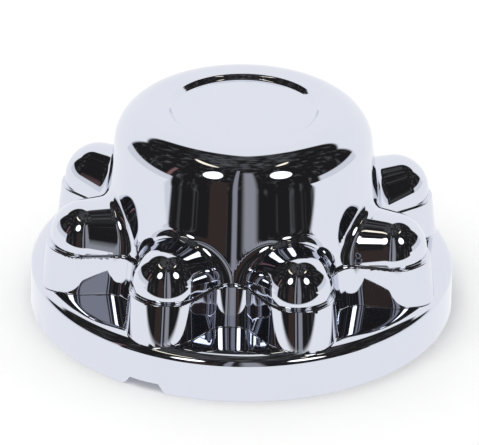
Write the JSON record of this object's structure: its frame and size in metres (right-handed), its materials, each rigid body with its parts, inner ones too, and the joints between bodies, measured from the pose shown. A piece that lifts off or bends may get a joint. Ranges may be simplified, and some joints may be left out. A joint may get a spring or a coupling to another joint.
{
  "type": "hubcap",
  "caption": "Chrome-plated moulded wheel hub cover: a drafted drum with a dished top, ringed by round-nosed lug-nut bosses on a flared rim.",
  "frame": {"origin": "on the wheel axis, in the plane of the rim's foot", "axes": "+Z along the wheel axis, out of the wheel; +X between two bosses, with the pry notch towards -Y and -X"},
  "size_m": [0.212, 0.212, 0.1043],
  "materials": {
    "plated_shell": "mirror-bright chrome plate on moulded plastic"
  },
  "bodies": {
    "root": {"hub_cover": "plated_shell"}
  },
  "joints": []
}
